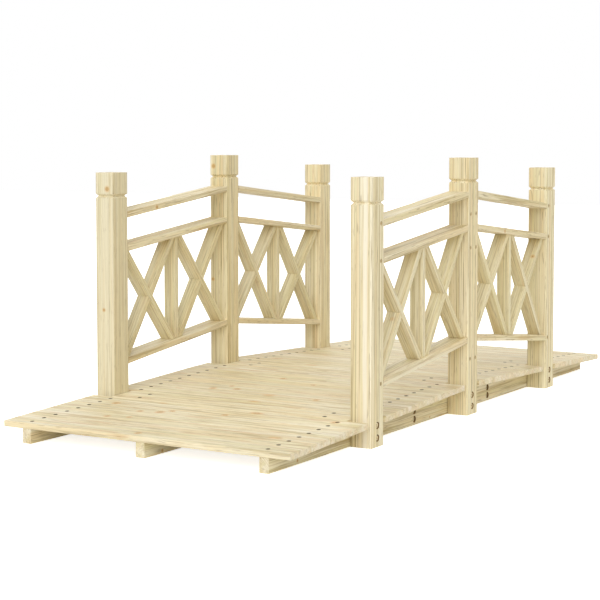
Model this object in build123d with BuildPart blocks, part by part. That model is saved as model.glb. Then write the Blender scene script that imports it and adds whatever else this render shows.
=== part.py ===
from build123d import *
import math
import os

os.makedirs("parts", exist_ok=True)

# A small garden moon bridge of unfinished softwood.
# X runs along the bridge, Y across it and Z up. The origin is on the ground, under the middle of the deck.
# The near end is at -X and the right railing is at -Y. All sizes are in millimetres.

# Deck: boards are counted from one post's board to the next, and past the end posts' boards
boards_per_bay = 6
boards_beyond_posts = 4
board_width = 70.4
board_joint = 1.0
board_thickness = 12.0
board_length = 658.0
board_easing = 1.5
short_board_clearance = 1.0

# Joists: flat below, with two straight ramps above that meet in a round crown
joist_thickness = 20.0
joist_end_height = 29.0
ramp_angle = 2.2
crown_radius = 3250.0
joist_setback = 1.5
joist_saw_gap = 1.0

# Splice planks, which bolt the two halves of each joist together
splice_length = 440.0
splice_height = 38.0
splice_thickness = 20.0
splice_lift = 2.0

# Posts
post_width = 50.0
post_depth = 47.0
post_easing = 3.0
post_proud = 1.0
end_post_height = 520.0
centre_post_height = 550.0
groove_drop = 49.0
groove_depth = 5.0
groove_mouth_easing = 1.2

# Rails: each top surface is given at the end post's face
rail_thickness = 13.0
rail_angle = 6.25
rail_easing = 1.5
bottom_rail_height = 127.0
lattice_height = 226.0
hand_rail_gap = 58.5

# Lattice
bar_thickness = 13.0
bar_depth = 29.0
bar_toe_cut = 2.0

# Places that follow from the sizes above
boards_each_way = boards_per_bay + boards_beyond_posts
board_count = 2 * boards_each_way + 1
board_pitch = board_width + board_joint
deck_run = board_count * board_pitch - board_joint
crown_half_chord = crown_radius * math.sin(math.radians(ramp_angle))
crown_half_arc = crown_radius * math.radians(ramp_angle)
crown_drop = crown_radius * (1 - math.cos(math.radians(ramp_angle)))
ramp_run = (deck_run / 2 - crown_half_arc) * math.cos(math.radians(ramp_angle))
joist_half_length = crown_half_chord + ramp_run - joist_setback
joist_ramp_drop = (joist_half_length - crown_half_chord) * math.tan(math.radians(ramp_angle))
crown_height = joist_end_height + joist_ramp_drop + crown_drop

post_outer_y = board_length / 2 + post_proud
post_centre_y = post_outer_y - post_depth / 2
joist_outer_y = post_outer_y - post_depth
short_board_length = 2 * (joist_outer_y - short_board_clearance)


def crown_point(run):
    """Place on the joists' top edge: x, z and downhill tilt, at a distance run from the crown."""
    reach = abs(run)
    side = math.copysign(1, run)
    if reach <= crown_half_arc:
        tilt = math.degrees(reach / crown_radius)
        x = crown_radius * math.sin(math.radians(tilt))
        z = crown_height - crown_radius * (1 - math.cos(math.radians(tilt)))
    else:
        tilt = ramp_angle
        x = crown_half_chord + (reach - crown_half_arc) * math.cos(math.radians(tilt))
        z = crown_height - crown_drop - (reach - crown_half_arc) * math.sin(math.radians(tilt))
    return side * x, z, side * tilt


end_post_x = crown_point(boards_per_bay * board_pitch)[0]
bay_near_x = end_post_x - post_width / 2
bay_centre_x = post_width / 2
bay_run = bay_near_x - bay_centre_x
rail_slope = math.tan(math.radians(rail_angle))
rail_upright_thickness = rail_thickness / math.cos(math.radians(rail_angle))
mid_rail_height = bottom_rail_height + lattice_height + rail_upright_thickness
hand_rail_height = mid_rail_height + hand_rail_gap + rail_upright_thickness

sides = {"right": -1, "left": 1}
ends = {"near": -1, "far": 1}


def save(builder, name):
    """Label a finished piece and write it."""
    builder.part.label = name
    export_step(builder.part, f"parts/{name}.step")


def deck_board(number):
    """One tread, lying on the joists at its place along the arch. It is short where it fits between posts."""
    step = number - 1 - boards_each_way
    length = short_board_length if abs(step) in (0, boards_per_bay) else board_length
    x, z, tilt = crown_point(step * board_pitch)
    across = Plane(origin=(x, 0, z), x_dir=(1, 0, 0), z_dir=(0, -1, 0)).rotated((0, tilt, 0))
    with BuildPart() as board:
        with BuildSketch(across):
            with Locations((0, board_thickness / 2)):
                RectangleRounded(board_width, board_thickness, board_easing)
        extrude(amount=length / 2, both=True)
    save(board, f"deck_board_{number:02d}")


def joist_half(name, centre_y, end):
    """Half of a joist: a plank on edge whose top is cut to the ramp and the crown."""
    inner_x = joist_saw_gap / 2
    inner_z = crown_height - crown_radius + math.sqrt(crown_radius**2 - inner_x**2)
    middle_x = crown_half_chord / 2
    middle_z = crown_height - crown_radius + math.sqrt(crown_radius**2 - middle_x**2)
    with BuildPart() as joist:
        with BuildSketch(Plane.XZ.offset(-centre_y)):
            with BuildLine():
                Line((end * inner_x, 0), (end * inner_x, inner_z))
                ThreePointArc(
                    (end * inner_x, inner_z),
                    (end * middle_x, middle_z),
                    (end * crown_half_chord, crown_height - crown_drop),
                )
                Polyline(
                    (end * crown_half_chord, crown_height - crown_drop),
                    (end * joist_half_length, joist_end_height),
                    (end * joist_half_length, 0),
                    (end * inner_x, 0),
                )
            make_face()
        extrude(amount=joist_thickness / 2, both=True)
    save(joist, name)


def splice_plank(name, centre_y):
    """Plank bolted beside a joist, across the joint of its two halves."""
    with BuildPart() as splice:
        with BuildSketch(Plane.XY.offset(splice_lift)):
            with Locations((0, centre_y)):
                Rectangle(splice_length, splice_thickness)
        extrude(amount=splice_height)
    save(splice, name)


def grooved_outline(width, height):
    """Points of a post's front outline: a V notch in each edge, under the cap block."""
    groove_z = height - groove_drop
    half = width / 2
    right_edge = [
        (half, 0),
        (half, groove_z - groove_depth),
        (half - groove_depth, groove_z),
        (half, groove_z + groove_depth),
        (half, height),
    ]
    left_edge = [(-x, z) for x, z in reversed(right_edge)]
    return right_edge + left_edge


def post(name, centre_x, centre_y, height):
    """Square-topped post with eased corners and a V groove cut across its four faces."""
    foot = (centre_x, centre_y, 0)
    across_width = Plane(origin=foot, x_dir=(1, 0, 0), z_dir=(0, -1, 0))
    across_depth = Plane(origin=foot, x_dir=(0, 1, 0), z_dir=(1, 0, 0))
    with BuildPart() as upright:
        with BuildSketch():
            with Locations((centre_x, centre_y)):
                RectangleRounded(post_width, post_depth, post_easing)
        extrude(amount=height)
        for face_plane, face_width in ((across_width, post_width), (across_depth, post_depth)):
            with BuildSketch(face_plane) as outline:
                with BuildLine():
                    Polyline(*grooved_outline(face_width, height), close=True)
                make_face()
                levels = outline.vertices().group_by(Axis.Y)
                below_groove, above_groove = levels[1], levels[3]
                fillet(below_groove + above_groove, groove_mouth_easing)
            extrude(amount=post_width + post_depth, both=True, mode=Mode.INTERSECT)
    save(upright, name)


def rail(name, side, end, top_height):
    """Rail that climbs from the end post to the centre post, as deep as the posts, cut to their faces."""
    middle_x = end * (bay_near_x + bay_centre_x) / 2
    middle_z = top_height + rail_slope * bay_run / 2 - rail_upright_thickness / 2
    along = Vector(math.cos(math.radians(rail_angle)), 0, -end * math.sin(math.radians(rail_angle)))
    section = Plane(origin=(middle_x, side * post_centre_y, middle_z), x_dir=(0, 1, 0), z_dir=along)
    with BuildPart() as bar:
        with BuildSketch(section):
            RectangleRounded(post_depth, rail_thickness, rail_easing)
        extrude(amount=bay_run, both=True)
        split(bisect_by=Plane.YZ.offset(middle_x - bay_run / 2), keep=Keep.TOP)
        split(bisect_by=Plane.YZ.offset(middle_x + bay_run / 2), keep=Keep.BOTTOM)
    save(bar, name)


def lattice(name, side, end):
    """Two crossed pairs of bars with an upright between them, half-lapped on edge and trimmed to two rails."""
    half_bay = (bay_run - bar_thickness) / 2
    bar_run = half_bay + 2 * bar_toe_cut
    foot_z = bottom_rail_height
    head_z = bottom_rail_height + lattice_height
    climb = rail_slope * bay_run
    opening = [
        (end * bay_near_x, foot_z),
        (end * bay_centre_x, foot_z + climb),
        (end * bay_centre_x, head_z + climb),
        (end * bay_near_x, head_z),
    ]
    with BuildPart() as panel:
        with BuildSketch(Plane.XZ.offset(-side * post_centre_y)):
            for start in (0, half_bay + bar_thickness):
                centre_run = start + half_bay / 2
                centre = (end * (bay_near_x - centre_run), foot_z + lattice_height / 2 + rail_slope * centre_run)
                for lean in (1, -1):
                    rise = lattice_height + lean * rail_slope * bar_run
                    diagonal = math.hypot(bar_run, rise)
                    toe_turn = math.asin(bar_thickness / diagonal)
                    turn = -end * lean * math.degrees(math.atan2(rise, bar_run) + toe_turn)
                    with Locations(centre):
                        Rectangle(2 * diagonal, bar_thickness, rotation=turn)
            middle_x = end * (bay_near_x + bay_centre_x) / 2
            with Locations((middle_x, foot_z + (lattice_height + climb) / 2)):
                Rectangle(bar_thickness, 2 * lattice_height)
            with BuildLine():
                Polyline(*opening, close=True)
            make_face(mode=Mode.INTERSECT)
        extrude(amount=bar_depth / 2, both=True)
    save(panel, name)


for number in range(1, board_count + 1):
    deck_board(number)

joist_places = {
    "left": joist_outer_y - joist_thickness / 2,
    "middle": 0,
    "right": joist_thickness / 2 - joist_outer_y,
}
for place, centre_y in joist_places.items():
    for end_name, end in ends.items():
        joist_half(f"joist_{place}_{end_name}", centre_y, end)

splice_offset = (joist_thickness + splice_thickness) / 2
splice_plank("splice_left", joist_places["left"] - splice_offset)
splice_plank("splice_middle", joist_places["middle"] + splice_offset)
splice_plank("splice_right", joist_places["right"] + splice_offset)

for side_name, side in sides.items():
    post(f"post_{side_name}_near", -end_post_x, side * post_centre_y, end_post_height)
    post(f"post_{side_name}_centre", 0, side * post_centre_y, centre_post_height)
    post(f"post_{side_name}_far", end_post_x, side * post_centre_y, end_post_height)
    for end_name, end in ends.items():
        rail(f"hand_rail_{side_name}_{end_name}", side, end, hand_rail_height)
        rail(f"mid_rail_{side_name}_{end_name}", side, end, mid_rail_height)
        rail(f"bottom_rail_{side_name}_{end_name}", side, end, bottom_rail_height)
        lattice(f"lattice_{side_name}_{end_name}", side, end)
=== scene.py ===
"""Looks of a small moon bridge of pale planed softwood.

It makes the wood's grain and knots, the halved lattice bars, the screws and bolts, and the studio.
Everything is in metres, in the frame's own axes: X along the bridge, Y across it, Z up.
"""

import math
import random

import bmesh
import bpy
from mathutils import Euler, Matrix, Vector


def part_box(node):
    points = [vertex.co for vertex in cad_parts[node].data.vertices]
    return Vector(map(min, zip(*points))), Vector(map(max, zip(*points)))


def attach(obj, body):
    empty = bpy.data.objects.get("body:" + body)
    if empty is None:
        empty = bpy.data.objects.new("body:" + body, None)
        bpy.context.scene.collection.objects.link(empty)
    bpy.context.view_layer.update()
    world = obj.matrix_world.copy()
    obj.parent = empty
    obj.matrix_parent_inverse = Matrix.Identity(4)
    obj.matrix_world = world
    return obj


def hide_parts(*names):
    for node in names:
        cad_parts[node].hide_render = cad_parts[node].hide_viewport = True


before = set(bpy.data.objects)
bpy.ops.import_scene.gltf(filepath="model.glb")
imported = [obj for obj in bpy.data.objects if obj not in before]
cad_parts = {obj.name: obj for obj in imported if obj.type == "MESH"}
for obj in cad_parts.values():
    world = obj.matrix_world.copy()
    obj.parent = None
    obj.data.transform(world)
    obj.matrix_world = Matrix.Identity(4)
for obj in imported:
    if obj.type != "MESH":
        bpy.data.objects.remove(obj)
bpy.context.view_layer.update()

MM = 0.001
UP = Vector((0, 0, 1))
ALONG_BRIDGE = Vector((1, 0, 0))
ACROSS_BRIDGE = Vector((0, 1, 0))
SIDES = {"right": -1, "left": 1}
ENDS = {"near": -1, "far": 1}
ROWS = ("near", "centre", "far")

# Degrees: edges that turn by more stay sharp, and faces that look away by less count as facing
SHARP_ANGLE = 35
FACING_ANGLE = 10

# Cleaning of a CAD solid before it is drilled: points this close are one, and faces that turn by
# fewer degrees are one
WELD_DISTANCE = 0.01 * MM
FLAT_ANGLE = 0.1

# Screws, with countersunk heads a little under the wood's face
SCREW_HEAD_RADIUS = 3.5 * MM
SCREW_HEAD_HEIGHT = 2.6 * MM
SCREW_RIM_EASING = 0.25 * MM
SCREW_SHANK_RADIUS = 1.6 * MM
SCREW_SUNK = 0.6 * MM
SCREW_SEAT_CLEARANCE = 0.9 * MM
SCREW_SLOT_WIDTH = 1.0 * MM
SCREW_SLOT_LENGTH = 4.4 * MM
SCREW_SLOT_DEPTH = 1.5 * MM

# Bolts, with round socket heads in counterbores
BOLT_HEAD_RADIUS = 5.3 * MM
BOLT_HEAD_HEIGHT = 3.2 * MM
BOLT_HEAD_EASING = 0.8 * MM
BOLT_SOCKET_RADIUS = 2.6 * MM
BOLT_SOCKET_DEPTH = 2.2 * MM
BOLT_SOCKET_SIDES = 6
BOLT_SUNK = 1.4 * MM
JOIST_BOLT_EXTRA_SUNK = 1.4 * MM
BORE_RADIUS = 7.0 * MM
BORE_FLOOR_CLEARANCE = 0.3 * MM
ROUND_STEPS = 20

# Places of screws and bolts
BOARD_SCREW_Y = 272 * MM
SHORT_BOARD_SCREW_Y = 223 * MM
SHORT_BOARD_TOLERANCE = 1 * MM
BOARD_SCREW_HALF_GAP = 18 * MM
POST_SCREW_HEIGHTS = (121 * MM, 359 * MM, 431 * MM)
POST_SCREW_OFFSET = 13 * MM
POST_BOLT_HEIGHTS = (17.5 * MM, 42 * MM)
JOIST_BOLT_X = 180.5 * MM
JOIST_BOLT_HEIGHTS = (12 * MM, 29.5 * MM)

# Lattice bars: the thickness and the toe cut are those of the solid panels. Before it is trimmed,
# a bar is as long as the panel is high, times the spare length.
BAR_THICKNESS = 13 * MM
BAR_TOE_CUT = 2 * MM
BAR_EASING = 0.7 * MM
BAR_EASING_STEPS = 2
BAR_SPARE_LENGTH = 3
LAP_CLEARANCE = 0.1 * MM

# The photograph's camera, in metres, degrees and pixels of its 600 x 600 frame. The sensor is in
# millimetres.
PHOTO_SIZE = 600
PHOTO_FOCAL_LENGTH = 1653.25
PHOTO_CENTRE = (302.9, 240.9)
CAMERA_PLACE = (-3.2046, -1.8252, 0.6151)
CAMERA_YAW = 30.913
CAMERA_PITCH = -3.940
CAMERA_CLIP = (0.05, 60)
SENSOR_WIDTH = 36.0


# Meshes

def new_piece(name, mesh):
    """An object that rides on the bridge's one body."""
    piece = bpy.data.objects.new(name, mesh)
    bpy.context.scene.collection.objects.link(piece)
    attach(piece, "root")
    return piece


def mesh_of(name, build):
    """A mesh from a function that fills a bmesh."""
    shape = bmesh.new()
    build(shape)
    bmesh.ops.recalc_face_normals(shape, faces=shape.faces)
    mesh = bpy.data.meshes.new(name)
    shape.to_mesh(mesh)
    shape.free()
    return mesh


def lathe(name, profile, steps=ROUND_STEPS):
    """A closed round form about Z. The profile's (radius, height) points start and end on it."""
    turns = [2 * math.pi * step / steps for step in range(steps)]

    def build(shape):
        rings = []
        for radius, height in profile[1:-1]:
            points = [(radius * math.cos(turn), radius * math.sin(turn), height) for turn in turns]
            rings.append([shape.verts.new(point) for point in points])
        for lower, upper in zip(rings, rings[1:]):
            for step in range(steps):
                following = (step + 1) % steps
                shape.faces.new((lower[step], lower[following], upper[following], upper[step]))
        shape.faces.new(rings[0])
        shape.faces.new(rings[-1])

    return mesh_of(name, build)


def prism(name, outline, low_y, high_y):
    """An outline of (x, z) points, drawn out along Y."""

    def build(shape):
        front = [shape.verts.new((x, low_y, z)) for x, z in outline]
        back = [shape.verts.new((x, high_y, z)) for x, z in outline]
        shape.faces.new(front)
        shape.faces.new(back)
        for index in range(len(outline)):
            following = (index + 1) % len(outline)
            shape.faces.new((front[index], front[following], back[following], back[index]))

    return mesh_of(name, build)


def copies(name, mesh, placings):
    """One mesh that holds a copy of another at each placing."""

    def build(shape):
        for placing in placings:
            copy = mesh.copy()
            copy.transform(placing)
            shape.from_mesh(copy)
            bpy.data.meshes.remove(copy)

    result = mesh_of(name, build)
    for material in mesh.materials:
        result.materials.append(material)
    return result


def cut(mesh, cutter_mesh):
    """The first mesh with the second taken out of it."""
    body = bpy.data.objects.new("cut_body", mesh)
    cutter = bpy.data.objects.new("cutter", cutter_mesh)
    for thing in (body, cutter):
        bpy.context.scene.collection.objects.link(thing)
    boolean = body.modifiers.new("cut", "BOOLEAN")
    boolean.operation = "DIFFERENCE"
    boolean.solver = "EXACT"
    boolean.material_mode = "TRANSFER"
    boolean.object = cutter
    depsgraph = bpy.context.evaluated_depsgraph_get()
    result = bpy.data.meshes.new_from_object(body.evaluated_get(depsgraph))
    bpy.data.objects.remove(body)
    bpy.data.objects.remove(cutter)
    return result


def shade(piece):
    """Smooth round faces, crisp corners and flat faces that stay flat."""
    mesh = piece.data
    mesh.polygons.foreach_set("use_smooth", [True] * len(mesh.polygons))
    mesh.set_sharp_from_angle(angle=math.radians(SHARP_ANGLE))
    weighted = piece.modifiers.new("flat_faces", "WEIGHTED_NORMAL")
    weighted.keep_sharp = True


# Places on the frame

def middle(node):
    """Middle of a CAD node's box."""
    low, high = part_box(node)
    return (low + high) / 2


def flat_face(node, direction):
    """A CAD node's largest flat face in a direction, as its normal and distance from the origin."""
    nearly = math.cos(math.radians(FACING_ANGLE))
    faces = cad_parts[node].data.polygons
    facing = [face for face in faces if face.normal.dot(direction) > nearly]
    largest = max(facing, key=lambda face: face.area)
    return largest.normal.copy(), largest.normal.dot(largest.center)


def on_face(node, direction, point):
    """Placing of a fastener square to a node's face, straight over a point, at a random turn."""
    normal, distance = flat_face(node, direction)
    foot = point + normal * (distance - point.dot(normal))
    rng = random.Random(f"{node} {point.x:.3f} {point.z:.3f}")
    spin = Matrix.Rotation(rng.uniform(0, math.pi), 4, "Z")
    return Matrix.Translation(foot) @ normal.to_track_quat("Z", "Y").to_matrix().to_4x4() @ spin


boards = sorted(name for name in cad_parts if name.startswith("deck_board"))
short_board_reach = min(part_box(board)[1].y for board in boards) + SHORT_BOARD_TOLERANCE


def board_screws(board):
    """Two screws at each end of a board, beside each other along the bridge."""
    normal, _ = flat_face(board, UP)
    down_the_slope = normal.cross(ACROSS_BRIDGE).normalized()
    is_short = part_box(board)[1].y < short_board_reach
    reach = SHORT_BOARD_SCREW_Y if is_short else BOARD_SCREW_Y
    for side in (-1, 1):
        for step in (-1, 1):
            place = middle(board) + down_the_slope * step * BOARD_SCREW_HALF_GAP
            place.y = side * reach
            yield on_face(board, UP, place)


def post_screws(post, side, row):
    """Screws into the rail ends: two beside each other on a centre post, one on an end post."""
    offsets = {"near": (1,), "centre": (-1, 1), "far": (-1,)}[row]
    for height in POST_SCREW_HEIGHTS:
        for offset in offsets:
            place = Vector((middle(post).x + offset * POST_SCREW_OFFSET, 0, height))
            yield on_face(post, side * ACROSS_BRIDGE, place)


def post_bolts(post, side):
    """Bolts through a post's foot into the joist."""
    for height in POST_BOLT_HEIGHTS:
        yield on_face(post, side * ACROSS_BRIDGE, Vector((middle(post).x, 0, height)))


def joist_bolts(joist, side, end):
    """Bolts through an outer joist into the splice behind it."""
    for height in JOIST_BOLT_HEIGHTS:
        placing = on_face(joist, side * ACROSS_BRIDGE, Vector((end * JOIST_BOLT_X, 0, height)))
        yield placing @ Matrix.Translation((0, 0, -JOIST_BOLT_EXTRA_SUNK))


# Fasteners and their cutters, made for a face that lies at the origin and looks up along Z

def screw_head():
    """A countersunk head with a cross slot."""
    top = -SCREW_SUNK
    foot = top - SCREW_HEAD_HEIGHT
    rim = (SCREW_HEAD_RADIUS, top - SCREW_RIM_EASING)
    brow = (SCREW_HEAD_RADIUS - SCREW_RIM_EASING, top)
    head = lathe("screw_head", [(0, foot), (SCREW_SHANK_RADIUS, foot), rim, brow, (0, top)])

    slot_size = Matrix.Diagonal((SCREW_SLOT_LENGTH, SCREW_SLOT_WIDTH, 2 * SCREW_SLOT_DEPTH, 1))
    for turn in (0, math.pi / 2):
        placing = Matrix.Translation((0, 0, top)) @ Matrix.Rotation(turn, 4, "Z") @ slot_size
        slot = mesh_of("slot", lambda shape: bmesh.ops.create_cube(shape, size=1, matrix=placing))
        head = cut(head, slot)
    return head


def screw_seat():
    """Cutter for the countersink that a screw head sits in."""
    floor = -SCREW_SUNK - SCREW_HEAD_HEIGHT - SCREW_SEAT_CLEARANCE
    mouth = SCREW_HEAD_RADIUS + SCREW_SEAT_CLEARANCE
    cone = [(0, floor), (SCREW_SHANK_RADIUS, floor), (mouth, -SCREW_SUNK)]
    return lathe("screw_seat", cone + [(mouth, mouth), (0, mouth)])


def bolt_head():
    """A round head with a six-sided socket."""
    top = -BOLT_SUNK
    foot = top - BOLT_HEAD_HEIGHT
    shoulder = (BOLT_HEAD_RADIUS, top - BOLT_HEAD_EASING)
    brow = (BOLT_HEAD_RADIUS - BOLT_HEAD_EASING, top)
    head = lathe("bolt_head", [(0, foot), (BOLT_HEAD_RADIUS, foot), shoulder, brow, (0, top)])
    floor = top - BOLT_SOCKET_DEPTH
    socket = [(0, floor), (BOLT_SOCKET_RADIUS, floor), (BOLT_SOCKET_RADIUS, 0), (0, 0)]
    return cut(head, lathe("bolt_socket", socket, steps=BOLT_SOCKET_SIDES))


def bolt_bore():
    """Cutter for the counterbore that a bolt head sits in."""
    floor = -BOLT_SUNK - BOLT_HEAD_HEIGHT + BORE_FLOOR_CLEARANCE
    profile = [(0, floor), (BORE_RADIUS, floor), (BORE_RADIUS, BORE_RADIUS), (0, BORE_RADIUS)]
    return lathe("bolt_bore", profile)


holes = {}
board_screw_places, post_screw_places, bolt_places = [], [], []


def fasten(node, placings, kind, seat):
    """Note fasteners of one kind, and the holes that they need in a node."""
    for placing in placings:
        kind.append(placing)
        holes.setdefault(node, []).append((seat, placing))


BOARD_SEAT = screw_seat()
POST_SEAT = screw_seat()
BOLT_BORE = bolt_bore()
# Materials for the walls of the seats and bores, which carry painted shade
board_seat_wood = bpy.data.materials.new("board_seat_wood")
post_seat_wood = bpy.data.materials.new("post_seat_wood")
bore_wood = bpy.data.materials.new("bore_wood")
BOARD_SEAT.materials.append(board_seat_wood)
POST_SEAT.materials.append(post_seat_wood)
BOLT_BORE.materials.append(bore_wood)
for board in boards:
    fasten(board, board_screws(board), board_screw_places, BOARD_SEAT)
for side_name, side in SIDES.items():
    for row in ROWS:
        post = f"post_{side_name}_{row}"
        fasten(post, post_screws(post, side, row), post_screw_places, POST_SEAT)
        fasten(post, post_bolts(post, side), bolt_places, BOLT_BORE)
    for end_name, end in ENDS.items():
        joist = f"joist_{side_name}_{end_name}"
        fasten(joist, joist_bolts(joist, side, end), bolt_places, BOLT_BORE)


def drilled(node, material):
    """A CAD node's own solid with screw seats and bolt bores cut in, in torn wood with painted
    shade.
    """
    solid = bmesh.new()
    solid.from_mesh(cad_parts[node].data)
    bmesh.ops.remove_doubles(solid, verts=solid.verts, dist=WELD_DISTANCE)
    flat = math.radians(FLAT_ANGLE)
    bmesh.ops.dissolve_limit(solid, angle_limit=flat, verts=solid.verts, edges=solid.edges)
    mesh = bpy.data.meshes.new(node)
    solid.to_mesh(mesh)
    solid.free()
    mesh.materials.append(material)
    for seat in (BOARD_SEAT, POST_SEAT, BOLT_BORE):
        placings = [placing for cutter, placing in holes[node] if cutter is seat]
        if placings:
            mesh = cut(mesh, copies("seats", seat, placings))
    piece = new_piece(f"{node}_drilled", mesh)
    shade(piece)
    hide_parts(node)
    return piece


# Wood: one node group, which each piece's material sets in its own direction and tone

def colour(text):
    """Linear colour of an sRGB hex value."""
    parts = [int(text[i:i + 2], 16) / 255 for i in (0, 2, 4)]
    return (*[p / 12.92 if p <= 0.04045 else ((p + 0.055) / 1.055) ** 2.4 for p in parts], 1)


PALE_WOOD = colour("F1E8CE")
PINK_WOOD = colour("ECDAB2")
OLIVE_WOOD = colour("DFD5A8")
WHITE_STREAK = colour("F7F0DD")
LATE_WOOD = colour("C2A974")
STREAK = colour("AB935C")
HAIRLINE = colour("94794A")
SMUDGE = colour("C99F68")
FLECK = colour("8C7248")
MEAN_WOOD = colour("E9DFBE")
KNOT_HALO = colour("D8AC68")
KNOT_HEART = colour("AF8450")
KNOT_RIM = colour("7D5C36")
# Wood inside screw seats and bolt bores: torn grain, darkened further as painted shade of the hole
BOARD_HOLE_WOOD_PAINTED_SHADE = colour("6A5537")
BOARD_HOLE_FIBRES_PAINTED_SHADE = colour("453622")
POST_HOLE_WOOD_PAINTED_SHADE = colour("D8C69E")
POST_HOLE_FIBRES_PAINTED_SHADE = colour("C6B28A")
BOLT_HOLE_WOOD_PAINTED_SHADE = colour("A3875A")
BOLT_HOLE_FIBRES_PAINTED_SHADE = colour("6F5737")

# Marks in the wood: noise cells per metre along the grain, across it and in its depth, the noise's
# detail, and the two levels between which the mark comes in
PINK_NOISE = ((0.8, 48, 48), 2.0, 0.36, 0.66)
OLIVE_NOISE = ((0.6, 80, 80), 1.0, 0.44, 0.66)
BAND_NOISE = ((0.25, 70, 70), 2.0, 0.58, 0.70)
LATE_NOISE = ((0.7, 26, 26), 2.0, 0.34, 0.68)
STREAK_NOISE = ((0.9, 170, 170), 3.0, 0.51, 0.66)
HAIRLINE_NOISE = ((2.0, 380, 380), 2.0, 0.58, 0.72)
SMUDGE_NOISE = ((1.4, 60, 60), 3.0, 0.57, 0.72)
FLECK_NOISE = ((24, 260, 260), 1.0, 0.64, 0.76)
SPECK_NOISE = ((45, 400, 400), 1.0, 0.64, 0.74)

# How strongly the marks cover the wood under them, and how far they fade on end faces
OLIVE_STRENGTH = 0.6
BAND_STRENGTH = 0.7
STREAK_STRENGTH = 0.6
FLECK_STRENGTH = 0.5
SPECK_STRENGTH = 0.26
USUAL_HAIRLINES = 0.5
END_FADE = 0.5

# Rings: the noise and distance of a slow sway and a quick ripple, how far a knot pushes them in
# parts of its radius, how uneven the years are, and where in a year the late wood starts and ends
SWAY_NOISE = ((0.7, 9, 9), 1.0)
SWAY = 11 * MM
RIPPLE_NOISE = ((3.0, 60, 60), 1.0)
RIPPLE = 3.0 * MM
KNOT_PUSH = 1.7
YEAR_NOISE = ((1, 1, 1), 2.0)
YEAR_PACE = 0.37
YEAR_SPREAD = 3.4
LATE_STARTS = (0.25, 0.85)
LATE_ENDS = (0.90, 1.0)

# Knots: how their cells are stretched, how their sizes vary, how far off they are felt in parts of
# their radius, and the levels of nearness between which halo and heart come in and the rim goes
KNOT_STRETCH = (0.55, 1.0, 0.7)
KNOT_SIZE_SPREAD = 0.7
KNOT_SIZE_LEAST = 0.3
KNOT_REACH = 3.0
KNOT_HALO_EDGE = (0.10, 0.66)
KNOT_HEART_EDGE = (0.62, 0.70)
KNOT_RIM_EDGE = (0.70, 0.80)
KNOT_HALO_STRENGTH = 0.66
KNOT_HEART_STRENGTH = 0.6
KNOT_RIM_STRENGTH = 0.4
KNOT_RINGS = 17.0

# A broad pale streak: the noise and distance by which it sways, and where its edge fades
BROAD_NOISE = ((3.0, 20, 20), 2.0)
BROAD_SWAY = 5 * MM
BROAD_EDGE = (2.5 * MM, 6.5 * MM)

# Surface: what fibres, knots and late wood do to its light, roughness and relief
FIBRE_NOISE = ((10, 620, 620), 3.0)
FIBRE_LIGHT = 0.16
FIBRE_LEAST_LIGHT = 0.92
FIBRE_ROUGHNESS = 0.20
LEAST_ROUGHNESS = 0.50
KNOT_SMOOTHER = 0.12
LATE_SUNK = 0.45
GRAIN_BUMP = 0.22
GRAIN_RELIEF = 0.4 * MM
WOOD_SPECULAR = 0.32

# End faces: how squarely a face looks along the grain to count as one, and its tone
END_FACING = (0.80, 0.92)
END_TONE = (0.955, 0.940, 0.955)

# Differences between pieces
SEEDS = 400
SEED_STEP = (3.71, 1.13, 2.39)
MOST_TILT = 0.03
LIGHTNESS = (0.97, 1.02)
BLUENESS = (-0.03, 0.02)
NO_STREAK = (0.0, 0.0)
USUAL_TONE = (1.0, 1.0, 1.0)

# Torn wood and steel
TORN_NOISE = ((900, 900, 900), 3.0)
TORN_EDGE = (0.3, 0.7)
TORN_ROUGHNESS = 0.15
TORN_LEAST_ROUGHNESS = 0.8
TORN_BUMP = 0.6
TORN_RELIEF = 0.3 * MM
STEEL_NOISE = ((420, 420, 420), 3.0)
STEEL_EDGE = (0.35, 0.68)
STEEL_ROUGHNESS = 0.25
STEEL_SPECULAR = 0.02

# Sockets of a colour mix, by number because several share a name
MIX_SHARE, MIX_FIRST, MIX_SECOND, MIX_RESULT = 0, 6, 7, 2


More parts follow.
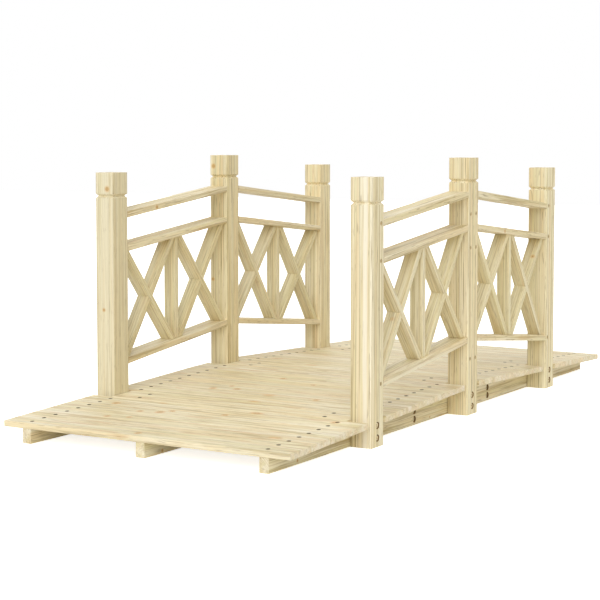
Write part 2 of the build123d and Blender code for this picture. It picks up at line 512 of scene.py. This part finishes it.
class Graph:
    """Short calls for the nodes of one tree. An input is a socket or a plain value."""

    def __init__(self, tree):
        self.tree = tree

    def make(self, kind, inputs, **settings):
        made = self.tree.nodes.new(kind)
        for name, value in settings.items():
            setattr(made, name, value)
        for name, value in inputs.items():
            if isinstance(value, bpy.types.NodeSocket):
                self.tree.links.new(value, made.inputs[name])
            else:
                made.inputs[name].default_value = value
        return made

    def node(self, kind, inputs, output=0, **settings):
        return self.make(kind, inputs, **settings).outputs[output]

    def math(self, operation, *values, clamp=False):
        inputs = dict(enumerate(values))
        return self.node("ShaderNodeMath", inputs, operation=operation, use_clamp=clamp)

    def vector(self, operation, *values, output=0):
        inputs = dict(enumerate(values))
        return self.node("ShaderNodeVectorMath", inputs, output, operation=operation)

    def scale(self, vector, factor):
        return self.node("ShaderNodeVectorMath", {0: vector, "Scale": factor}, operation="SCALE")

    def joined(self, *parts):
        return self.node("ShaderNodeCombineXYZ", dict(enumerate(parts)))

    def noise(self, place, cells, detail):
        inputs = {"Vector": self.vector("MULTIPLY", place, cells), "Scale": 1.0, "Detail": detail}
        return self.node("ShaderNodeTexNoise", inputs)

    def rise(self, value, low, high):
        """0 below low, 1 above high and smooth between."""
        inputs = {"Value": value, "From Min": low, "From Max": high}
        return self.node("ShaderNodeMapRange", inputs, interpolation_type="SMOOTHSTEP")

    def fall(self, value, low, high):
        """1 below low, 0 above high and smooth between."""
        return self.math("SUBTRACT", 1.0, self.rise(value, low, high))

    def marks(self, place, cells, detail, low, high):
        """Noise that comes in between two levels."""
        return self.rise(self.noise(place, cells, detail), low, high)

    def mix(self, share, first, second):
        inputs = {MIX_SHARE: share, MIX_FIRST: first, MIX_SECOND: second}
        return self.node("ShaderNodeMix", inputs, MIX_RESULT, data_type="RGBA")

    def lay(self, base, tone, share, *strengths):
        """A tone laid over a base by its share, times its strengths."""
        for strength in strengths:
            share = self.math("MULTIPLY", share, strength)
        return self.mix(share, base, tone)

    def finish_material(self, shader):
        """End the material in a surface with these settings."""
        surface = self.node("ShaderNodeBsdfPrincipled", shader)
        self.make("ShaderNodeOutputMaterial", {"Surface": surface})


def blank_graph(owner):
    """The emptied node tree of a material or a world."""
    owner.use_nodes = True
    owner.node_tree.nodes.clear()
    return Graph(owner.node_tree)


SOFTWOOD_INPUTS = {
    "Place": "NodeSocketVector",
    "End": "NodeSocketFloat",
    "Seed": "NodeSocketFloat",
    "Pith Across": "NodeSocketFloat",
    "Pith Depth": "NodeSocketFloat",
    "Tilt Across": "NodeSocketFloat",
    "Tilt Depth": "NodeSocketFloat",
    "Ring": "NodeSocketFloat",
    "Late": "NodeSocketFloat",
    "Knot Share": "NodeSocketFloat",
    "Knot Cell": "NodeSocketFloat",
    "Knot Radius": "NodeSocketFloat",
    "Placed Knot": "NodeSocketFloat",
    "Smudge": "NodeSocketFloat",
    "Figure": "NodeSocketFloat",
    "Fineness": "NodeSocketFloat",
    "Hairlines": "NodeSocketFloat",
    "Bold": "NodeSocketFloat",
    "Streak Depth": "NodeSocketFloat",
    "Streak Share": "NodeSocketFloat",
    "Tone": "NodeSocketVector",
}
SOFTWOOD_OUTPUTS = {
    "Color": "NodeSocketColor",
    "Roughness": "NodeSocketFloat",
    "Height": "NodeSocketFloat",
}


def softwood_group():
    """Growth rings round a pith that may lie outside the piece, bent by knots, with fine marks."""
    tree = bpy.data.node_groups.new("softwood", "ShaderNodeTree")
    for name, kind in SOFTWOOD_INPUTS.items():
        tree.interface.new_socket(name, in_out="INPUT", socket_type=kind)
    for name, kind in SOFTWOOD_OUTPUTS.items():
        tree.interface.new_socket(name, in_out="OUTPUT", socket_type=kind)
    given = tree.nodes.new("NodeGroupInput").outputs
    g = Graph(tree)

    # Places: figure shortens the marks along the grain, and tight also narrows them across it
    place = g.vector("ADD", given["Place"], g.scale(SEED_STEP, given["Seed"]))
    figure = g.vector("MULTIPLY", place, g.joined(given["Figure"], 1.0, 1.0))
    tight = g.vector("MULTIPLY", figure, g.joined(1.0, given["Fineness"], given["Fineness"]))

    # Knots: how near a point is to a knot, 0 far off, two thirds at its rim and 1 in its middle
    cell = given["Knot Cell"]
    cells = g.vector("MULTIPLY", g.scale(place, g.math("DIVIDE", 1.0, cell)), KNOT_STRETCH)
    voronoi = g.make("ShaderNodeTexVoronoi", {"Vector": cells, "Scale": 1.0}).outputs
    distance = g.math("MULTIPLY", voronoi["Distance"], cell)
    chance = g.make("ShaderNodeSeparateColor", {0: voronoi["Color"]}).outputs
    size = g.math("MULTIPLY_ADD", chance[0], KNOT_SIZE_SPREAD, KNOT_SIZE_LEAST)
    reach = g.math("MULTIPLY", g.math("MULTIPLY", given["Knot Radius"], size), KNOT_REACH)
    nearness = g.math("SUBTRACT", 1.0, g.math("DIVIDE", distance, reach), clamp=True)
    present = g.math("LESS_THAN", chance[1], given["Knot Share"])
    knot = g.math("MAXIMUM", g.math("MULTIPLY", nearness, present), given["Placed Knot"])
    near_knot = g.math("MULTIPLY", knot, knot)

    # Rings: the distance from the pith, bent, and counted in years
    parts = g.make("ShaderNodeSeparateXYZ", {0: given["Place"]}).outputs
    across = g.math("SUBTRACT", parts[1], given["Pith Across"])
    across = g.math("MULTIPLY_ADD", parts[0], given["Tilt Across"], across)
    depth = g.math("SUBTRACT", parts[2], given["Pith Depth"])
    depth = g.math("MULTIPLY_ADD", parts[0], given["Tilt Depth"], depth)
    squares = g.math("ADD", g.math("MULTIPLY", across, across), g.math("MULTIPLY", depth, depth))
    bent = g.math("SQRT", squares)
    bent = g.math("MULTIPLY_ADD", g.noise(figure, *SWAY_NOISE), SWAY, bent)
    bent = g.math("MULTIPLY_ADD", g.noise(figure, *RIPPLE_NOISE), RIPPLE, bent)
    push = g.math("MULTIPLY", given["Knot Radius"], KNOT_PUSH)
    bent = g.math("MULTIPLY_ADD", near_knot, push, bent)
    years = g.math("DIVIDE", bent, given["Ring"])
    year_place = g.joined(g.math("MULTIPLY", years, YEAR_PACE), given["Seed"])
    uneven = g.math("MULTIPLY_ADD", g.noise(year_place, *YEAR_NOISE), YEAR_SPREAD, years)
    season = g.math("FRACT", uneven)
    late = g.math("MULTIPLY", g.rise(season, *LATE_STARTS), g.fall(season, *LATE_ENDS))
    late_share = g.math("MULTIPLY", late, given["Late"])
    late_share = g.math("MULTIPLY", late_share, g.marks(figure, *LATE_NOISE), clamp=True)

    # Marks: streaks, hairlines, smudges and flecks run along the grain, so they fade on end faces
    lengthwise = g.math("MULTIPLY_ADD", given["End"], -END_FADE, 1.0)
    hairlines = g.marks(figure, *HAIRLINE_NOISE)
    smudges = g.marks(figure, *SMUDGE_NOISE)
    wood = g.lay(PALE_WOOD, PINK_WOOD, g.marks(tight, *PINK_NOISE))
    wood = g.lay(wood, OLIVE_WOOD, g.marks(tight, *OLIVE_NOISE), OLIVE_STRENGTH)
    wood = g.lay(wood, WHITE_STREAK, g.marks(tight, *BAND_NOISE), BAND_STRENGTH)
    wood = g.lay(wood, LATE_WOOD, late_share)
    wood = g.lay(wood, STREAK, g.marks(tight, *STREAK_NOISE), STREAK_STRENGTH, lengthwise)
    wood = g.lay(wood, HAIRLINE, hairlines, given["Hairlines"], lengthwise)
    wood = g.lay(wood, SMUDGE, smudges, given["Smudge"], lengthwise)
    wood = g.lay(wood, FLECK, g.marks(place, *FLECK_NOISE), FLECK_STRENGTH, lengthwise)
    wood = g.mix(given["Bold"], MEAN_WOOD, wood)
    wood = g.lay(wood, FLECK, g.marks(place, *SPECK_NOISE), SPECK_STRENGTH)

    # The broad streak
    off_streak = g.math("SUBTRACT", parts[2], given["Streak Depth"])
    off_streak = g.math("MULTIPLY_ADD", g.noise(figure, *BROAD_NOISE), BROAD_SWAY, off_streak)
    off_streak = g.math("ABSOLUTE", g.math("SUBTRACT", off_streak, BROAD_SWAY / 2))
    wood = g.lay(wood, WHITE_STREAK, g.fall(off_streak, *BROAD_EDGE), given["Streak Share"])

    # Colours of the knots, of end faces and of the piece
    heart = g.rise(knot, *KNOT_HEART_EDGE)
    rim = g.math("MULTIPLY", heart, g.fall(knot, *KNOT_RIM_EDGE))
    heart_rings = g.math("FRACT", g.math("MULTIPLY", knot, KNOT_RINGS))
    heart_tone = g.mix(heart_rings, KNOT_HEART, KNOT_HALO)
    wood = g.lay(wood, KNOT_HALO, g.rise(knot, *KNOT_HALO_EDGE), KNOT_HALO_STRENGTH)
    wood = g.lay(wood, heart_tone, heart, KNOT_HEART_STRENGTH)
    wood = g.lay(wood, KNOT_RIM, rim, KNOT_RIM_STRENGTH)
    wood = g.mix(given["End"], wood, g.vector("MULTIPLY", wood, END_TONE))
    wood = g.vector("MULTIPLY", wood, given["Tone"])

    # Fibres
    fibre = g.noise(place, *FIBRE_NOISE)
    wood = g.scale(wood, g.math("MULTIPLY_ADD", fibre, FIBRE_LIGHT, FIBRE_LEAST_LIGHT))
    rough = g.math("MULTIPLY_ADD", fibre, FIBRE_ROUGHNESS, LEAST_ROUGHNESS)
    rough = g.math("MULTIPLY_ADD", heart, -KNOT_SMOOTHER, rough)
    height = g.math("MULTIPLY_ADD", late, -LATE_SUNK, fibre)

    out = tree.nodes.new("NodeGroupOutput").inputs
    for name, value in (("Color", wood), ("Roughness", rough), ("Height", height)):
        tree.links.new(value, out[name])
    return tree


SOFTWOOD = softwood_group()


def wood(name, centre, along, depth, look, knots=(), streak=NO_STREAK, tone_with_painted_light=USUAL_TONE,
         bold=None):
    """Softwood for one piece. Along is the way its grain runs, and depth looks out of a face."""
    along = along.normalized()
    across = depth.cross(along).normalized()
    depth = along.cross(across)
    turn = Matrix((along, across, depth))
    material = bpy.data.materials.new(name)
    g = blank_graph(material)
    coordinates = g.make("ShaderNodeTexCoord", {}).outputs
    mapping = {
        "Vector": coordinates["Object"],
        "Location": -(turn @ centre),
        "Rotation": turn.to_euler("XYZ"),
    }
    facing_end = g.vector("DOT_PRODUCT", coordinates["Normal"], along, output=1)
    placed_knot = 0.0
    for point, radius in knots:
        apart = g.vector("SUBTRACT", coordinates["Object"], Vector(point))
        distance = g.vector("LENGTH", apart, output=1)
        nearness = g.math("MULTIPLY_ADD", distance, -1 / (KNOT_REACH * radius), 1.0, clamp=True)
        placed_knot = g.math("MAXIMUM", placed_knot, nearness)

    rng = random.Random(name)
    values = {
        "Place": g.node("ShaderNodeMapping", mapping, vector_type="POINT"),
        "End": g.rise(g.math("ABSOLUTE", facing_end), *END_FACING),
        "Placed Knot": placed_knot,
        "Seed": rng.randint(1, SEEDS),
        "Pith Across": rng.uniform(*look["pith_across"]) * rng.choice((-1, 1)),
        "Pith Depth": rng.uniform(*look["pith_depth"]) * rng.choice((-1, 1)),
        "Tilt Across": rng.uniform(-MOST_TILT, MOST_TILT),
        "Tilt Depth": rng.uniform(-MOST_TILT, MOST_TILT),
        "Ring": rng.uniform(*look["ring"]),
        "Late": rng.uniform(*look["late"]),
        "Knot Share": look["knot_share"],
        "Knot Cell": look["knot_cell"],
        "Knot Radius": look["knot_radius"],
        "Smudge": look["smudge"],
        "Figure": look["figure"],
        "Fineness": look.get("fineness", 1.0),
        "Hairlines": look.get("hairlines", USUAL_HAIRLINES),
        "Bold": bold or look["bold"],
        "Streak Depth": streak[0],
        "Streak Share": streak[1],
    }
    lightness = rng.uniform(*LIGHTNESS)
    blueness = rng.uniform(*BLUENESS)
    # A post's own tone here may also carry painted light and shade
    red, green, blue = (own * seen for own, seen in zip(look["tone"], tone_with_painted_light))
    values["Tone"] = (red * lightness, green * lightness, blue * (lightness + blueness))
    grain = g.make("ShaderNodeGroup", values, node_tree=SOFTWOOD).outputs
    bump = {"Height": grain["Height"], "Strength": GRAIN_BUMP, "Distance": GRAIN_RELIEF}
    g.finish_material({
        "Base Color": grain["Color"],
        "Roughness": grain["Roughness"],
        "Normal": g.node("ShaderNodeBump", bump),
        "Specular IOR Level": WOOD_SPECULAR,
    })
    return material


# Looks of the kinds of timber. Lengths are in metres: how far off the pith lies, the width of a
# year's ring, and the size and spacing of the knots.
BOARD_LOOK = {
    "pith_across": (0.0, 0.035), "pith_depth": (0.015, 0.05),
    "ring": (0.0022, 0.0036), "late": (0.5, 0.9),
    "knot_share": 0.45, "knot_cell": 0.065, "knot_radius": 0.0055,
    "smudge": 0.50, "figure": 7.0, "bold": 0.85,
    "tone": (1.04, 1.04, 1.05),
}
POST_LOOK = {
    "pith_across": (0.012, 0.06), "pith_depth": (0.03, 0.07),
    "ring": (0.0018, 0.0028), "late": (0.25, 0.50),
    "knot_share": 0.12, "knot_cell": 0.11, "knot_radius": 0.005,
    "smudge": 0.22, "figure": 2.5, "bold": 0.85,
    "fineness": 2.0, "hairlines": 0.85, "tone": (1.01, 1.01, 0.985),
}
RAIL_LOOK = {
    "pith_across": (0.005, 0.05), "pith_depth": (0.02, 0.06),
    "ring": (0.0020, 0.0034), "late": (0.4, 0.75),
    "knot_share": 0.16, "knot_cell": 0.09, "knot_radius": 0.0045,
    "smudge": 0.35, "figure": 4.0, "bold": 0.95,
    "tone": (0.99, 0.985, 0.955),
}
BAR_LOOK = {
    "pith_across": (0.01, 0.05), "pith_depth": (0.02, 0.06),
    "ring": (0.0018, 0.0030), "late": (0.25, 0.50),
    "knot_share": 0.12, "knot_cell": 0.08, "knot_radius": 0.0035,
    "smudge": 0.35, "figure": 5.0, "bold": 0.65,
    "fineness": 2.2, "hairlines": 0.7, "tone": (0.955, 0.95, 0.885),
}
JOIST_LOOK = {
    "pith_across": (0.01, 0.06), "pith_depth": (0.02, 0.06),
    "ring": (0.0024, 0.0042), "late": (0.55, 0.95),
    "knot_share": 0.16, "knot_cell": 0.10, "knot_radius": 0.0045,
    "smudge": 0.30, "figure": 5.0, "bold": 1.0,
    "tone": (0.98, 0.985, 0.95),
}

# Knots that the photograph shows: place on the piece's face, and radius
SEEN_KNOTS = {
    "post_left_near": [
        ((-0.453, 0.2993, 0.4859), 3.4 * MM), ((-0.453, 0.3098, 0.2313), 2.2 * MM),
    ],
    "post_left_centre": [
        ((-0.025, 0.3199, 0.5250), 3.2 * MM), ((-0.025, 0.3225, 0.2623), 2.4 * MM),
    ],
    "hand_rail_left_near": [((-0.2987, 0.283, 0.4423), 2.6 * MM)],
    "mid_rail_right_far": [((0.1649, -0.330, 0.3850), 2.4 * MM)],
    "joist_right_near": [
        ((-0.6482, -0.283, 0.0073), 1.8 * MM), ((-0.1092, -0.283, 0.0062), 1.4 * MM),
    ],
    "joist_middle_near": [((-0.6903, -0.010, 0.0052), 2.0 * MM)],
    "lattice_right_near": [((-0.3335, -0.309, 0.2403), 3.5 * MM)],
    "lattice_right_far": [
        ((0.3593, -0.315, 0.3135), 3.0 * MM), ((0.3582, -0.303, 0.1819), 2.5 * MM),
    ],
}

# Posts that it shows lighter, darker or yellower than the rest: partly their own tone, partly
# painted light and shade where their faces lie in more or less light
POST_TONES_WITH_PAINTED_LIGHT = {
    "post_left_near": (0.945, 0.945, 0.965),
    "post_left_centre": (0.95, 0.94, 0.88),
    "post_left_far": (1.035, 1.03, 1.01),
    "post_right_near": (1.015, 1.015, 1.02),
    "post_right_centre": (0.995, 0.99, 0.995),
}

# Posts whose grain it shows calmer than the rest
SEEN_BOLDNESS = {"post_left_near": 0.5}

# Broad pale streaks that it shows: offset from the piece's middle across the bridge, and strength
SEEN_STREAKS = {"post_right_near": (-0.0092, 0.8)}

# Deck knots that it shows: place along and across the bridge, and radius
SEEN_DECK_KNOTS = [
    (-0.5165, 0.2315, 5.0 * MM), (-0.6285, 0.1683, 4.0 * MM), (-0.6172, 0.1227, 3.5 * MM),
    (-0.7274, 0.0190, 4.0 * MM), (-0.5512, 0.0955, 5.5 * MM), (-0.2961, 0.1404, 4.5 * MM),
    (-0.5192, -0.0386, 4.0 * MM), (-0.2598, 0.1157, 3.5 * MM), (-0.5328, 0.0793, 4.0 * MM),
    (-0.4860, -0.2690, 5.0 * MM), (-0.3137, -0.1255, 4.0 * MM), (-0.1388, 0.0614, 4.0 * MM),
    (-0.1761, -0.0371, 3.5 * MM), (-0.2836, 0.0873, 4.5 * MM), (-0.5606, 0.1378, 4.0 * MM),
]


def deck_knots(board):
    """Knots on a board's top, at the places on the deck where the photograph shows them."""
    low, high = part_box(board)
    normal, distance = flat_face(board, UP)
    for x, y, radius in SEEN_DECK_KNOTS:
        if low.x <= x < high.x:
            yield (x, y, (distance - normal.x * x) / normal.z), radius


def finish_piece(node, along, depth, look):
    """Give a node its wood. With fasteners, its drilled copy takes it."""
    knots = list(deck_knots(node)) if node in boards else SEEN_KNOTS.get(node, ())
    streak = SEEN_STREAKS.get(node, NO_STREAK)
    tone_with_painted_light = POST_TONES_WITH_PAINTED_LIGHT.get(node, USUAL_TONE)
    bold = SEEN_BOLDNESS.get(node)
    place = middle(node)
    material = wood(f"wood_{node}", place, along, depth, look, knots, streak, tone_with_painted_light, bold)
    if node in holes:
        piece = drilled(node, material)
    else:
        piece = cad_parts[node]
        piece.data.materials.clear()
        piece.data.materials.append(material)


for board in boards:
    finish_piece(board, ACROSS_BRIDGE, flat_face(board, UP)[0], BOARD_LOOK)
for place in ("left", "middle", "right"):
    for end_name in ENDS:
        joist = f"joist_{place}_{end_name}"
        finish_piece(joist, ALONG_BRIDGE, ACROSS_BRIDGE, JOIST_LOOK)
    splice = f"splice_{place}"
    finish_piece(splice, ALONG_BRIDGE, ACROSS_BRIDGE, JOIST_LOOK)
for side_name in SIDES:
    for row in ROWS:
        post = f"post_{side_name}_{row}"
        finish_piece(post, UP, ACROSS_BRIDGE, POST_LOOK)
    for end_name in ENDS:
        for kind in ("hand", "mid", "bottom"):
            rail = f"{kind}_rail_{side_name}_{end_name}"
            normal, _ = flat_face(rail, UP)
            finish_piece(rail, ACROSS_BRIDGE.cross(normal), normal, RAIL_LOOK)


# Lattice: separate bars, halved into each other on edge, in place of the solid panels

def clip(outline, edge_point, inward):
    """The part of an outline that lies on the inward side of a line."""
    kept = []
    for first, second in zip(outline, outline[1:] + outline[:1]):
        depth_first = (first - edge_point).dot(inward)
        depth_second = (second - edge_point).dot(inward)
        if depth_first >= 0:
            kept.append(first)
        if depth_first * depth_second < 0:
            kept.append(first.lerp(second, depth_first / (depth_first - depth_second)))
    return kept


def strip(centre, angle, width, length):
    """Outline of a straight bar."""
    run = Vector((math.cos(angle), math.sin(angle))) * length / 2
    side = Vector((-math.sin(angle), math.cos(angle))) * width / 2
    return [centre - run - side, centre + run - side, centre + run + side, centre - run + side]


def rail_edge(rail, direction):
    """A point on a rail's face and the face's normal, seen from the side."""
    normal, distance = flat_face(rail, direction)
    return Vector((normal.x, normal.z)) * distance, Vector((normal.x, normal.z))


def height_at(edge, x):
    """Height of a rail's face at a place along the bridge."""
    point, normal = edge
    return point.y - (x - point.x) * normal.x / normal.y


def finish_bar(name, panel, mesh, centre, angle, low_y, high_y):
    """Ease a bar's edges and give it its wood, in the panel's place."""
    piece = new_piece(name, mesh)
    bevel = piece.modifiers.new("eased_edges", "BEVEL")
    bevel.width = BAR_EASING
    bevel.segments = BAR_EASING_STEPS
    bevel.limit_method = "ANGLE"
    bevel.angle_limit = math.radians(SHARP_ANGLE)
    shade(piece)
    along = Vector((math.cos(angle), 0, math.sin(angle)))
    depth = along.cross(ACROSS_BRIDGE)
    place = Vector((centre.x, (low_y + high_y) / 2, centre.y))
    piece.data.materials.clear()
    knots = SEEN_KNOTS.get(panel, ())
    piece.data.materials.append(wood(f"wood_{name}", place, along, depth, BAR_LOOK, knots))
    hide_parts(panel)


def lattice_panel(side_name, end_name):
    """Two crossed pairs of bars with an upright between, trimmed to the rails and posts."""
    panel = f"lattice_{side_name}_{end_name}"
    low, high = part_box(panel)
    middle_y = (low.y + high.y) / 2
    foot = rail_edge(f"bottom_rail_{side_name}_{end_name}", UP)
    head = rail_edge(f"mid_rail_{side_name}_{end_name}", -UP)
    middle_x = (low.x + high.x) / 2
    long_enough = BAR_SPARE_LENGTH * (high.z - low.z)

    def trimmed(outline, start, stop):
        ends = ((Vector((start, 0)), Vector((1, 0))), (Vector((stop, 0)), Vector((-1, 0))))
        for edge_point, inward in (foot, head, *ends):
            outline = clip(outline, edge_point, inward)
        return outline

    half_bays = ((low.x, middle_x - BAR_THICKNESS / 2), (middle_x + BAR_THICKNESS / 2, high.x))
    for half, (start, stop) in enumerate(half_bays, 1):
        first, last = start - BAR_TOE_CUT, stop + BAR_TOE_CUT
        first_foot, first_head = (Vector((first, height_at(edge, first))) for edge in (foot, head))
        last_foot, last_head = (Vector((last, height_at(edge, last))) for edge in (foot, head))
        lines = {}
        for lean, one, other in (
            ("rising", first_foot, last_head),
            ("falling", first_head, last_foot),
        ):
            diagonal = other - one
            toe_turn = math.asin(BAR_THICKNESS / diagonal.length)
            slope = math.atan2(diagonal.y, diagonal.x)
            lines[lean] = ((one + other) / 2, slope + math.copysign(toe_turn, slope))
        laps = {
            "rising": ("falling", 2 * low.y - middle_y, middle_y),
            "falling": ("rising", middle_y, 2 * high.y - middle_y),
        }
        for lean, (centre, angle) in lines.items():
            name = f"{panel}_{lean}_bar_{half}"
            outline = trimmed(strip(centre, angle, BAR_THICKNESS, long_enough), start, stop)
            other, lap_start, lap_stop = laps[lean]
            notch = strip(*lines[other], BAR_THICKNESS + 2 * LAP_CLEARANCE, long_enough)
            whole = prism(name, outline, low.y, high.y)
            bar = cut(whole, prism("notch", notch, lap_start, lap_stop))
            finish_bar(name, panel, bar, centre, angle, low.y, high.y)

    centre = Vector((middle_x, (low.z + high.z) / 2))
    outline = strip(centre, math.pi / 2, BAR_THICKNESS, long_enough)
    outline = trimmed(outline, middle_x - BAR_THICKNESS, middle_x + BAR_THICKNESS)
    upright = prism("upright", outline, low.y, high.y)
    finish_bar(f"{panel}_upright", panel, upright, centre, math.pi / 2, low.y, high.y)


for side_name in SIDES:
    for end_name in ENDS:
        lattice_panel(side_name, end_name)


# Wood inside the seats and bores, darkened with painted shade, and steel

def torn_wood_in_painted_shade(material, shade_tone, tone):
    """Torn grain, darker than the planed faces: its own tone with painted shade of the hole."""
    g = blank_graph(material)
    place = g.make("ShaderNodeTexCoord", {}).outputs["Object"]
    fibres = g.noise(place, *TORN_NOISE)
    bump = {"Height": fibres, "Strength": TORN_BUMP, "Distance": TORN_RELIEF}
    g.finish_material({
        "Base Color": g.mix(g.rise(fibres, *TORN_EDGE), shade_tone, tone),
        "Roughness": g.math("MULTIPLY_ADD", fibres, TORN_ROUGHNESS, TORN_LEAST_ROUGHNESS),
        "Normal": g.node("ShaderNodeBump", bump),
        "Specular IOR Level": 0.0,
    })


def steel(name, bright, dull, roughness, bare_share):
    """Mottled steel: bare_share is 1 for plated heads and 0 for heads with a dull coating."""
    material = bpy.data.materials.new(name)
    g = blank_graph(material)
    place = g.make("ShaderNodeTexCoord", {}).outputs["Object"]
    mottle = g.noise(place, *STEEL_NOISE)
    g.finish_material({
        "Base Color": g.mix(g.rise(mottle, *STEEL_EDGE), bright, dull),
        "Roughness": g.math("MULTIPLY_ADD", mottle, STEEL_ROUGHNESS, roughness),
        "Metallic": bare_share,
        "Specular IOR Level": STEEL_SPECULAR,
    })
    return material


def fastener_piece(name, head, placings, material):
    """All fasteners of one kind, as one piece."""
    piece = new_piece(name, copies(name, head, placings))
    shade(piece)
    piece.data.materials.clear()
    piece.data.materials.append(material)


# Torn wood in the seats and bores, darker than its own tone: painted shade of the holes
torn_wood_in_painted_shade(board_seat_wood, BOARD_HOLE_FIBRES_PAINTED_SHADE, BOARD_HOLE_WOOD_PAINTED_SHADE)
torn_wood_in_painted_shade(post_seat_wood, POST_HOLE_FIBRES_PAINTED_SHADE, POST_HOLE_WOOD_PAINTED_SHADE)
torn_wood_in_painted_shade(bore_wood, BOLT_HOLE_FIBRES_PAINTED_SHADE, BOLT_HOLE_WOOD_PAINTED_SHADE)
board_screw_steel = steel("board_screw_steel", colour("6C5B40"), colour("40341F"), 0.70, 0.0)
post_screw_steel = steel("post_screw_steel", colour("D2BE95"), colour("B5A079"), 0.70, 0.0)
bolt_steel = steel("bolt_steel", colour("E6DAB9"), colour("BBAA84"), 0.42, 1.0)
fastener_piece("board_screws", screw_head(), board_screw_places, board_screw_steel)
fastener_piece("post_screws", screw_head(), post_screw_places, post_screw_steel)
fastener_piece("bolts", bolt_head(), bolt_places, bolt_steel)


# Studio

WHITE = (1, 1, 1, 1)
FLOOR_HALF = 9.0
FLOOR_DROP = 0.3 * MM
FLOOR_PAINT = (0.93, 0.93, 0.93, 1)
FLOOR_SEEN_GLOW = 0.72
FLOOR_UNSEEN_GLOW = 0.09
FLOOR_UNSEEN_TINT = (1, 0.98, 0.92, 1)
FILL_TINT = (1, 0.97, 0.88, 1)
FILL_STRENGTH = 0.10

# Lamps: strength, spread in degrees, the direction that each shines from, and tint
LAMPS = {
    "key": (1.80, 50, (-0.80, -0.25, 0.50), (1, 1, 1)),
    "side": (0.78, 60, (-0.10, -0.85, 0.45), (1.0, 0.985, 0.93)),
    "top": (0.74, 60, (0.0, 0.0, 1.0), (1, 1, 1)),
    "back": (0.46, 60, (-0.30, 0.70, 0.60), (1, 1, 1)),
    "far": (0.65, 60, (0.85, 0.25, 0.30), (1, 1, 1)),
}


def seen_ray(g):
    """1 where the camera, a reflection or glass looks, and 0 where a surface gathers light."""
    ray = g.make("ShaderNodeLightPath", {}).outputs
    bounced = g.math("MAXIMUM", ray["Is Glossy Ray"], ray["Is Transmission Ray"])
    return g.math("MAXIMUM", ray["Is Camera Ray"], bounced)


def backdrop():
    """A pale floor that keeps the bridge's shadow, in a white surround."""
    low, high = -FLOOR_HALF, FLOOR_HALF
    corners = [(low, low), (high, low), (high, high), (low, high)]

    def build(shape):
        shape.faces.new([shape.verts.new((x, y, -FLOOR_DROP)) for x, y in corners])

    floor = bpy.data.objects.new("floor", mesh_of("floor", build))
    bpy.context.scene.collection.objects.link(floor)
    material = bpy.data.materials.new("floor")
    g = blank_graph(material)
    seen = g.node("ShaderNodeEmission", {"Color": WHITE, "Strength": FLOOR_SEEN_GLOW})
    unseen = {"Color": FLOOR_UNSEEN_TINT, "Strength": FLOOR_UNSEEN_GLOW}
    unseen = g.node("ShaderNodeEmission", unseen)
    glow = g.node("ShaderNodeMixShader", {0: seen_ray(g), 1: unseen, 2: seen})
    paint = g.node("ShaderNodeBsdfDiffuse", {"Color": FLOOR_PAINT})
    surface = g.node("ShaderNodeAddShader", {0: paint, 1: glow})
    g.make("ShaderNodeOutputMaterial", {"Surface": surface})
    floor.data.materials.append(material)


def lights():
    """A white surround that adds little light of its own, and soft lamps."""
    world = bpy.data.worlds.new("studio")
    bpy.context.scene.world = world
    g = blank_graph(world)
    fill = g.node("ShaderNodeBackground", {"Color": FILL_TINT, "Strength": FILL_STRENGTH})
    white = g.node("ShaderNodeBackground", {"Color": WHITE, "Strength": 1.0})
    surface = g.node("ShaderNodeMixShader", {0: seen_ray(g), 1: fill, 2: white})
    g.make("ShaderNodeOutputWorld", {"Surface": surface})

    for name, (strength, spread, shines_from, tint) in LAMPS.items():
        data = bpy.data.lights.new(name, "SUN")
        data.energy = strength
        data.color = tint
        data.angle = math.radians(spread)
        lamp = bpy.data.objects.new(name, data)
        bpy.context.scene.collection.objects.link(lamp)
        lamp.rotation_euler = Vector(shines_from).to_track_quat("Z", "Y").to_euler()


def camera():
    """The photograph's camera."""
    data = bpy.data.cameras.new("camera")
    data.sensor_width = SENSOR_WIDTH
    data.lens = PHOTO_FOCAL_LENGTH / PHOTO_SIZE * SENSOR_WIDTH
    data.shift_x = (PHOTO_SIZE / 2 - PHOTO_CENTRE[0]) / PHOTO_SIZE
    data.shift_y = (PHOTO_CENTRE[1] - PHOTO_SIZE / 2) / PHOTO_SIZE
    data.clip_start, data.clip_end = CAMERA_CLIP
    view = bpy.data.objects.new("camera", data)
    view.location = CAMERA_PLACE
    pitch, yaw = math.radians(90 + CAMERA_PITCH), math.radians(CAMERA_YAW - 90)
    view.rotation_euler = Euler((pitch, 0, yaw))
    bpy.context.scene.collection.objects.link(view)
    bpy.context.scene.camera = view


backdrop()
lights()
camera()
bpy.context.scene.view_settings.view_transform = "Standard"
